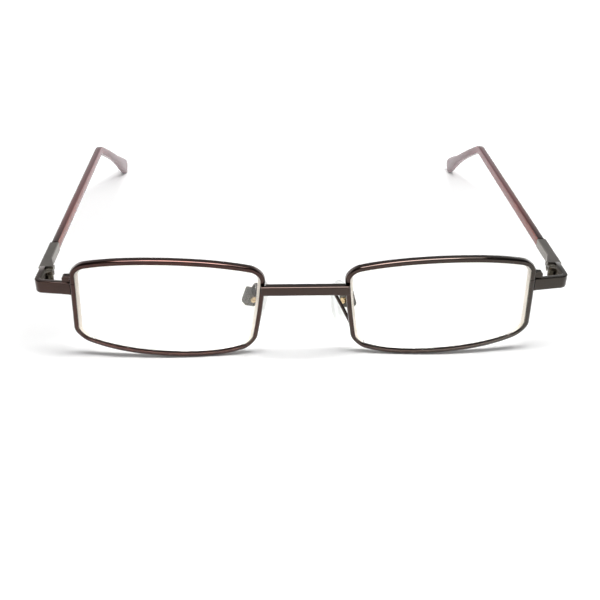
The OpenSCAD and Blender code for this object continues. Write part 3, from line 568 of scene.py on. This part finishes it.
def lens_grid():
    """Meniscus lens: rings of the outline shrunk towards the middle on two spheres, joined by a bevel in the
    groove and a broad facet behind it. Also gives how far each point is ground: the facet is matt along the
    upright sides and the corners, and polished along the long sides, where the wire shows through it."""
    t = np.arange(LAP, dtype=float)
    edge = WIRE_W + LENS_FIT
    ridge = WIRE_W - GROOVE_DEEP + LENS_FIT
    shrink = np.sin(np.linspace(0, np.pi / 2, FACE_RINGS))[:, None]
    set_x = RIM_A - WIRE_W
    face_s = behind_front(set_x, RIM_MID, 0) + LENS_SET - set_x**2 / (2 * LENS_FRONT_R)

    def face(inset, back, radius):
        """One face, from its middle out to the outline at an inset."""
        rim_x, rim_w = outline(t, inset)
        x, w = shrink * rim_x, RIM_MID + shrink * (rim_w - RIM_MID)
        sag = radius - np.sqrt(radius**2 - x**2 - (w - RIM_MID) ** 2)
        return on_rim(x, face_s + back + sag, w)

    g0 = WIRE_D - GROOVE_LIP - GROOVE_WIDE + LENS_FIT
    g1 = g0 + GROOVE_WIDE - 2 * LENS_FIT
    middle = (g0 + g1) / 2
    bevel = []
    for d, depth in ((edge, g0), (ridge, middle - RIDGE_HALF), (ridge, middle + RIDGE_HALF), (edge, g1)):
        x, w = outline(t, d)
        bevel.append(on_rim(x, behind_front(x, w, depth), w))
    back = face(edge + FACET_W, LENS_T, LENS_BACK_R)[::-1]
    edge_x, edge_w = outline(np.append(t, LAP), edge)
    run_x, run_w = np.diff(edge_x), np.diff(edge_w)
    # Matt from where the outline runs about 8 degrees off level, and fully so from about 36
    steep = np.abs(run_w) / np.hypot(run_x, run_w)
    ground = np.zeros((2 * FACE_RINGS + len(bevel), LAP))
    ground[FACE_RINGS:FACE_RINGS + len(bevel) + 1] = ease(steep * 2.2 - 0.3)
    return np.concatenate([face(edge, 0, LENS_FRONT_R), np.array(bevel), back]), ground.ravel()


lens, lens_ground = lens_grid()
both_sides("rim", rim_grid(), "front", wire_plating)
both_sides("lens", lens, "front", lens_resin, ground=lens_ground, caps=False)


# Bridge


def bridge_grid():
    """Bar with rounded front edges, carried across the nose. Past its shoulders its back lies against the
    eyewires, and over its last quarter millimetre it narrows a little."""
    up = up_front(BRIDGE_Z, BRIDGE_Y)
    half = BRIDGE_H / 2
    reach = nose_in(up) + BRIDGE_LAP
    shoulder = NOSE_GAP / 2 + nose_in(up + half) - BRIDGE_PLAY
    lap_x = RIM_A - reach - BRIDGE_PLAY
    lap_s = -lap_x * np.sin(WRAP) + behind_front(lap_x, up - half, 0) * np.cos(WRAP) - BRIDGE_SEAT
    front = lap_s - LAP_D
    profile = rounded_loop(
        [(BRIDGE_D, -half), (BRIDGE_D, half), (0, half), (0, -half)],
        [0.15, 0.15, BRIDGE_BEVEL, BRIDGE_BEVEL], 8)
    end = NOSE_GAP / 2 + reach
    x = np.array([0, 0.25, 0.5, 0.75, 1]) * shoulder
    x = np.concatenate([x, [shoulder + 0.02, end - 0.25, end - 0.1, end - 0.03, end]])
    shrink = np.concatenate([np.zeros(7), [0.03, 0.1, 0.2]])
    x, shrink = np.concatenate([-x[:0:-1], x]), np.concatenate([shrink[:0:-1], shrink])
    s = np.repeat(profile[None, :, 0], len(x), 0)
    s = np.where(np.abs(x)[:, None] > shoulder + 0.01, np.minimum(s, LAP_D), s)
    w = profile[None, :, 1] * (1 - shrink[:, None] / half)
    s = s + (s < LAP_D / 2) * shrink[:, None]
    return lean_back(x[:, None], front + s, up + w) - [0, 0, LOW_Z]


verts, faces = skin(bridge_grid())
put("bridge_skin", verts, faces, "front", ["bridge"], plating, 35)


# End pieces


def end_piece_grid():
    """Flat bar with eased edges, carried from the eyewire back to the corner, round it and down the leg."""
    side = FRONT_W / 2
    centre = np.array([side - CORNER_R, CORNER_BACK + CORNER_R])
    turn = np.linspace(BAR_SWEEP - np.pi / 2, 0, 16)
    normal = np.stack([np.cos(turn), np.sin(turn)], -1)
    mid_r = CORNER_R - BAR_T / 2
    out, up = BAR_T / 2, BAR_H / 2
    profile = rounded_loop([(out, -up), (out, up), (-out, up), (-out, -up)], BAR_ROUNDS, 6)
    offset, height = profile[:, 0], profile[:, 1]
    corner = centre + normal[:, None] * (mid_r + offset)[None, :, None]
    # Bar: from the eyewire's side, where it ends on an upright plane with a small fillet of solder
    inner_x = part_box("left_end_piece")[0].x / MM
    way = np.array([-np.cos(BAR_SWEEP), -np.sin(BAR_SWEEP)])
    first = corner[0]
    ends = first + way * ((inner_x - first[:, 0]) / way[0])[:, None]
    share = np.array([0, 0.04, 0.08, 0.13, 0.2, 0.5, 1])[:-1, None, None]
    bar = ends + (first - ends) * share
    solder = SOLDER_W * np.clip(1 - share[..., 0] / 0.13, 0, 1) ** 2
    bar = bar + normal[0] * (solder * np.sign(offset))[..., None]
    bar_height = np.repeat(height[None], len(share), 0) + solder * np.sign(height)
    stops = np.array([0.5, 0.97, 1])[:, None, None]
    leg_start = corner[-1]
    leg = leg_start + np.array([0, LEG_END - centre[1]]) * stops
    plan = np.concatenate([bar, corner, leg])
    rise = np.concatenate([bar_height, np.repeat(height[None], len(corner) + len(leg), 0)])
    rise[-1] *= 0.97
    z = BAR_TOP - BAR_H / 2 + rise
    return np.concatenate([plan, z[..., None]], -1)


both_sides("end_piece", end_piece_grid(), "front", plating)


# Temple sleeves


def tip_half(slope):
    """Height from the middle of the sleeve's end down to its lowest point."""
    return np.hypot(TIP_ROUND * np.sin(slope), TIP_H / 2 * np.cos(slope))


def sleeve_line():
    """Slope and length of the part behind the bend, found by trial so that the tip rests on the floor."""
    slope = HOOK_ANGLE
    bend_z = HINGE_TOP - BEND_H / 2
    for _ in range(6):
        fall = bend_z - BEND_R * (1 - np.cos(HOOK_ANGLE)) - tip_half(slope)
        slope = np.arccos(np.cos(HOOK_ANGLE) - fall / TIP_CURVE_R)
    return slope, TIP_CURVE_R * (slope - HOOK_ANGLE)


STRAIGHT_L = BEND_Y - SLEEVE_START
BEND_ARC = BEND_R * HOOK_ANGLE
HOOK_L = sleeve_line()[1]
CAP_L = STRAIGHT_L + BEND_ARC + HOOK_L
SLEEVE_L = CAP_L + TIP_ROUND
SLEEVE_X = FRONT_W / 2 + 0.25 - SLEEVE_W / 2


def plain_high(s):
    """Sleeve's height before the tip widens it."""
    return SLEEVE_H + (BEND_H - SLEEVE_H) * np.clip(s / STRAIGHT_L, 0, 1)


def sleeve_point(s):
    """Middle of the sleeve at length s: a straight run, a bend, then a long gentle curve down to the tip."""
    past = s - STRAIGHT_L
    bend = np.clip(past / BEND_ARC, 0, 1) * HOOK_ANGLE
    slope = HOOK_ANGLE + np.maximum(past - BEND_ARC, 0) / TIP_CURVE_R
    share = np.maximum(past, 0) / (SLEEVE_L - STRAIGHT_L)
    y = BEND_Y + np.minimum(past, 0) + BEND_R * np.sin(bend)
    y = y + TIP_CURVE_R * (np.sin(slope) - np.sin(HOOK_ANGLE))
    z = HINGE_TOP - plain_high(s) / 2 - BEND_R * (1 - np.cos(bend))
    z = z - TIP_CURVE_R * (np.cos(HOOK_ANGLE) - np.cos(slope))
    return np.stack([SLEEVE_X - TOE_IN * share**1.3, y, z], -1)


def sleeve_grid():
    """Rounded rectangle carried along the sleeve's line, widened to a flat paddle and closed by a round
    end. Its mouth at the housing is eased by a parabola."""
    cap = TIP_ROUND * np.sin(np.linspace(0, np.pi / 2, 16))
    s = np.concatenate([
        [0, 0.06, 0.16, MOUTH_EASE], np.linspace(1, STRAIGHT_L, 50)[:-1],
        STRAIGHT_L + np.linspace(0, BEND_ARC, 20)[:-1],
        STRAIGHT_L + BEND_ARC + np.linspace(0, HOOK_L, 50)[:-1], CAP_L + cap])
    along_hook = np.maximum(s - STRAIGHT_L - BEND_ARC, 0) / (HOOK_L + TIP_ROUND)
    close = np.sqrt(np.maximum(1 - (np.maximum(s - CAP_L, 0) / TIP_ROUND) ** 2, 0.0004))
    high = (plain_high(s) + (TIP_H - BEND_H) * ease(2 * along_hook - 1)) * close
    thick = SLEEVE_W + (BEND_W - SLEEVE_W) * np.minimum(s / STRAIGHT_L, 1)
    thick = (thick + (TIP_W - BEND_W) * along_hook) * close**0.7
    eased = 1 - 0.05 * np.clip(1 - s / MOUTH_EASE, 0, 1) ** 2
    ring = oval_loop(1, 1, SECTION_POWER, 64)
    return along(sleeve_point(s), ring * np.stack([thick * eased, high * eased], -1)[:, None])


both_sides("temple_sleeve", sleeve_grid(), "{}_temple", propionate, sharp=50)


# Hinge springs


def spring_grid():
    """Round wire wound round the carriage's rod: a helix along Y, with a ring of the wire at each stop."""
    low, high = (np.array(c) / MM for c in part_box("left_hinge_spring"))
    middle = (low + high) / 2
    radius = (SPRING_D - SPRING_WIRE) / 2
    turn = 2 * np.pi * SPRING_TURNS * np.linspace(0, 1, 32 * SPRING_TURNS)
    y = np.linspace(low[1] + SPRING_WIRE / 2, high[1] - SPRING_WIRE / 2, len(turn))
    out = np.stack([np.cos(turn), 0 * turn, np.sin(turn)], -1)
    path = out * radius + np.stack([0 * y + middle[0], y, 0 * y + middle[2]], -1)
    side = unit(np.cross(out, np.gradient(path, axis=0)))
    ring = oval_loop(SPRING_WIRE, SPRING_WIRE, 1, 12)
    return path[:, None] + ring[None, :, :1] * out[:, None] + ring[None, :, 1:] * side[:, None]


both_sides("hinge_spring", spring_grid(), "{}_carriage", wire_steel)


# Pad arms and nose pads


def bezier(t, points):
    """Cubic curve through four control points."""
    a, b, c, d = (np.array(p, float) for p in points)
    t = t[:, None]
    return (1 - t) ** 3 * a + 3 * t * (1 - t) ** 2 * b + 3 * t * t * (1 - t) * c + t**3 * d


def behind_rim(z):
    """Where an arm touches the back of the eyewire's nose side, at a height."""
    w = up_front(z, 3)
    x = nose_in(w) + WIRE_W / 2
    s = behind_front(RIM_A - x, w, WIRE_D) * np.cos(WRAP) - (RIM_A - x) * np.sin(WRAP)
    return np.array([NOSE_GAP / 2 + x, s * np.cos(LEAN) - w * np.sin(LEAN) + ARM_D / 2 + 2 * SEAT, z])


def on_pad(points, side):
    """Nose pad's own directions to the frame's, on the left: tilted, splayed and moved to its box."""
    x, y, z = points[..., 0], points[..., 1], points[..., 2]
    tilted = x * np.cos(PAD_FRONTAL) - z * np.sin(PAD_FRONTAL)
    splay = SPLAY[side]
    turned = np.stack([
        tilted * np.cos(splay) + y * np.sin(splay), -tilted * np.sin(splay) + y * np.cos(splay),
        x * np.sin(PAD_FRONTAL) + z * np.cos(PAD_FRONTAL)], -1)
    return turned + BOX_AT[side]


def arm_grid(side):
    """Round wire soldered behind the eyewire, which rises, turns over and comes down into the pad box."""
    low, root, top = behind_rim(ARM_ROOT - SOLDER_L), behind_rim(ARM_ROOT), np.array(ARM_TOP[side])
    up = on_pad(np.array([0.0, 0, 1]), side) - BOX_AT[side]
    end = BOX_AT[side] + up * (BOX_L / 2 + SEAT)
    over = end + up * 0.4
    rise = [root, root + (root - low) * 0.6, root + (top - root) * 0.85 + [0, -0.7, 0.6], top]
    turn = [top, top + (top - root) * 0.05 + [0, 1.6, 0.2], over + up * 1.4, over]
    t = np.linspace(0, 1, 40)
    path = np.concatenate([[low, (low + root) / 2], bezier(t, rise)[:-1], bezier(t, turn), [end]])
    return along(path, np.repeat(oval_loop(ARM_D, ARM_D, 1, 20)[None], len(path), 0))


def pad_grid(side):
    """Oval pad, fuller below, whose rings shrink over a quarter turn to a crowned face, with an eased back
    edge."""
    a = np.linspace(0, 2 * np.pi, 72, endpoint=False)
    oval = np.stack([0 * a, np.cos(a) * PAD_W / 2 * (1 - 0.12 * np.sin(a)), np.sin(a) * PAD_L / 2], -1)
    back = -BOX_D / 2 - PAD_FLOAT
    arc = np.linspace(0, np.pi / 2, 18)
    shrink = np.concatenate([[0, 0.4, 0.8, 0.9, 0.955, 0.985], np.maximum(np.cos(arc), 0) ** 0.6])
    depth = np.concatenate([[0, 0, 0, 0.04, 0.16, 0.35], PAD_RIM + (PAD_T - PAD_RIM) * np.sin(arc)])
    rings = oval[None] * shrink[:, None, None] + [0, 0, -PAD_DROP]
    rings[..., 0] = back - depth[:, None]
    return on_pad(rings, side)


for side, sign in SIDES.items():
    arm, pad = f"{side}_pad_arm", f"{side}_nose_pad"
    verts, faces = skin(arm_grid(side) * [sign, 1, 1])
    put(f"{arm}_skin", verts, faces, "front", [arm], plating, 35)
    verts, faces = skin(pad_grid(side) * [sign, 1, 1], caps=False)
    put(f"{pad}_skin", verts, faces, f"{side}_pad", [pad], silicone, 50)


# Machined pieces: the frame's own shapes, some with rounded edges, and their finishes

# Body, slot, finish and the width of the rounds
EASED = {
    "upper_lock": ("front", "brown_frame", plating, 0.5),
    "lower_lock": ("front", "brown_frame", plating, 0.1),
    "front_hinge": ("front", "brown_frame", oxidised, 0.05),
    "pad_box": ("front", "bare_steel", pressed, 0.12),
    "spring_housing": ("{}_temple", "grey_housing", gunmetal, 0.06),
    "spring_carriage": ("{}_carriage", "bare_steel", machined, 0.04),
}
PLAIN = {
    "rim_screw": screw_steel, "hinge_screw": screw_steel, "pad_screw": brass,
    "temple_core": machined, "pad_insert": insert_resin,
}
for side in SIDES:
    for kind, (body, slot, finish, edge) in EASED.items():
        eased_copy(f"{side}_{kind}", body.format(side), finish, edge)
    for kind, finish in PLAIN.items():
        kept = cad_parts[f"{side}_{kind}"].data
        kept.materials.clear()
        kept.materials.append(finish)


# Floor, light and camera


def white_where_seen(tree):
    """1 for rays from the camera and for those seen by reflection or through clear pieces, else 0."""
    ray = add(tree, "ShaderNodeLightPath").outputs
    seen = ray["Is Camera Ray"]
    for other in ("Is Glossy Ray", "Is Transmission Ray"):
        seen = add(tree, "ShaderNodeMath", {0: seen, 1: ray[other]}, operation="MAXIMUM").outputs[0]
    return seen


def floor_finish():
    """White paper sweep: matt, and lifted to white where it is looked at, fully so far away, so that only the
    shadows near the glasses show on it."""
    material, tree, out = blank("paper_sweep_white")
    place = add(tree, "ShaderNodeTexCoord").outputs["Object"]
    away = add(tree, "ShaderNodeVectorMath", {0: place}, operation="LENGTH").outputs["Value"]
    glow = add(tree, "ShaderNodeMapRange", {0: away, 1: LIFT_NEAR, 2: LIFT_FAR, 3: LIFT_LEAST, 4: 1.0})
    glow = add(tree, "ShaderNodeMath", {0: white_where_seen(tree), 1: glow}, operation="MULTIPLY")
    glow = add(tree, "ShaderNodeEmission", {"Color": "#ffffff", "Strength": glow})
    matt = add(tree, "ShaderNodeBsdfDiffuse", {"Color": "#ffffff"})
    both = add(tree, "ShaderNodeAddShader", {0: matt, 1: glow})
    tree.links.new(both.outputs[0], out.inputs["Surface"])
    return material


# The floor's half width, where its lift to white starts to grow and is full, in metres, and its least lift
FLOOR_HALF = 3.0
LIFT_NEAR = 0.13
LIFT_FAR = 0.4
LIFT_LEAST = 0.07

# The room's plain light, the heights of view between which it gets dim in reflections, how much lower that
# happens in front of the sweep, how far to the front it takes to get there, and how dim it gets
SOFT_LIGHT = 0.17
DIM_FROM, DIM_FULL = 0.28, 0.48
FRONT_LOWER = 0.25
FRONT_TURN = 0.3
DIM_LIGHT = 0.08

floor_mesh = bpy.data.meshes.new("floor")
corners = [(x * FLOOR_HALF, y * FLOOR_HALF, 0) for x, y in ((-1, -1), (1, -1), (1, 1), (-1, 1))]
floor_mesh.from_pydata(corners, [], [(0, 1, 2, 3)])
floor_mesh.materials.append(floor_finish())
floor = bpy.data.objects.new("floor", floor_mesh)
bpy.context.scene.collection.objects.link(floor)

world = bpy.data.worlds.new("studio")
bpy.context.scene.world = world
world.use_nodes = True
sky = world.node_tree
sky.nodes.clear()
# Polished pieces show the dim ceiling and front as dark lines along their edges
view = add(sky, "ShaderNodeTexCoord").outputs["Generated"]
look = add(sky, "ShaderNodeSeparateXYZ", {0: view}).outputs
ahead = add(sky, "ShaderNodeMapRange", {0: look["Y"], 1: -FRONT_TURN, 2: 0.0, 3: FRONT_LOWER, 4: 0.0})
height = add(sky, "ShaderNodeMath", {0: look["Z"], 1: ahead}, operation="ADD")
room = add(sky, "ShaderNodeMapRange", {0: height, 1: DIM_FROM, 2: DIM_FULL})
mirrored = add(sky, "ShaderNodeLightPath").outputs["Is Glossy Ray"]
room = add(sky, "ShaderNodeMath", {0: room, 1: mirrored}, operation="MULTIPLY")
shown = add(sky, "ShaderNodeMapRange", {0: room, 3: 1.0, 4: DIM_LIGHT})
white = add(sky, "ShaderNodeBackground", {"Color": "#ffffff", "Strength": shown})
soft = add(sky, "ShaderNodeBackground", {"Color": "#ffffff", "Strength": SOFT_LIGHT})
both = add(sky, "ShaderNodeMixShader", {0: white_where_seen(sky), 1: soft, 2: white})
sky.links.new(both.outputs[0], add(sky, "ShaderNodeOutputWorld").inputs["Surface"])


def lamp(name, place, aim, wide, deep, power):
    """Softbox of a size at a place, both in metres, turned to face a point. Its power is in watts."""
    light = bpy.data.lights.new(name, "AREA")
    light.shape = "RECTANGLE"
    light.size = wide
    light.size_y = deep
    light.energy = power
    made = bpy.data.objects.new(name, light)
    bpy.context.scene.collection.objects.link(made)
    away = unit(np.array(place) - np.array(aim))
    sideways = unit(np.cross([0, 1, 0.01], away))
    axes = np.stack([sideways, np.cross(away, sideways), away], -1)
    made.matrix_world = Matrix.Translation(place) @ Matrix(axes.tolist()).to_4x4()
    return made


lamp("softbox_overhead", (0.06, -0.04, 0.6), (0, 0.01, 0), 0.5, 0.16, 3.7)
lamp("softbox_behind", (0, 0.6, 0.34), (0, 0.03, 0), 1.4, 0.6, 1.0)
strip = lamp("strip_reflected", (-0.05, -0.2, 0.52), (0, 0.01, 0), 0.5, 0.4, 9.0)
# The strip only shows in reflections, as the bright line along the wires
strip.visible_diffuse = False

# Camera, from the photograph's perspective: where it looks, from how far, and how it is turned
LOOK = np.array([-1.335, 0, 17.486])
DISTANCE = 215.1
ELEVATION = np.radians(30.0)
TURN = np.radians(2.914)
ROLL = np.radians(0.89)
FOCAL_PX = 857.6
FRAME_PX = 600

forward = np.array([
    np.sin(TURN) * np.cos(ELEVATION), np.cos(TURN) * np.cos(ELEVATION), -np.sin(ELEVATION)])
level = np.array([np.cos(TURN), -np.sin(TURN), 0])
upright = np.cross(level, forward)
right = np.cos(ROLL) * level + np.sin(ROLL) * upright
over = -np.sin(ROLL) * level + np.cos(ROLL) * upright
camera_data = bpy.data.cameras.new("camera")
camera_data.sensor_width = 36
camera_data.lens = camera_data.sensor_width * FOCAL_PX / FRAME_PX
camera_data.clip_start = 0.01
camera = bpy.data.objects.new("camera", camera_data)
bpy.context.scene.collection.objects.link(camera)
camera.matrix_world = Matrix.Translation(((LOOK - DISTANCE * forward) * MM).tolist()) @ Matrix(
    np.stack([right, over, -forward], -1).tolist()).to_4x4()
bpy.context.scene.camera = camera
bpy.context.scene.view_settings.view_transform = "Standard"

bpy.context.view_layer.update()
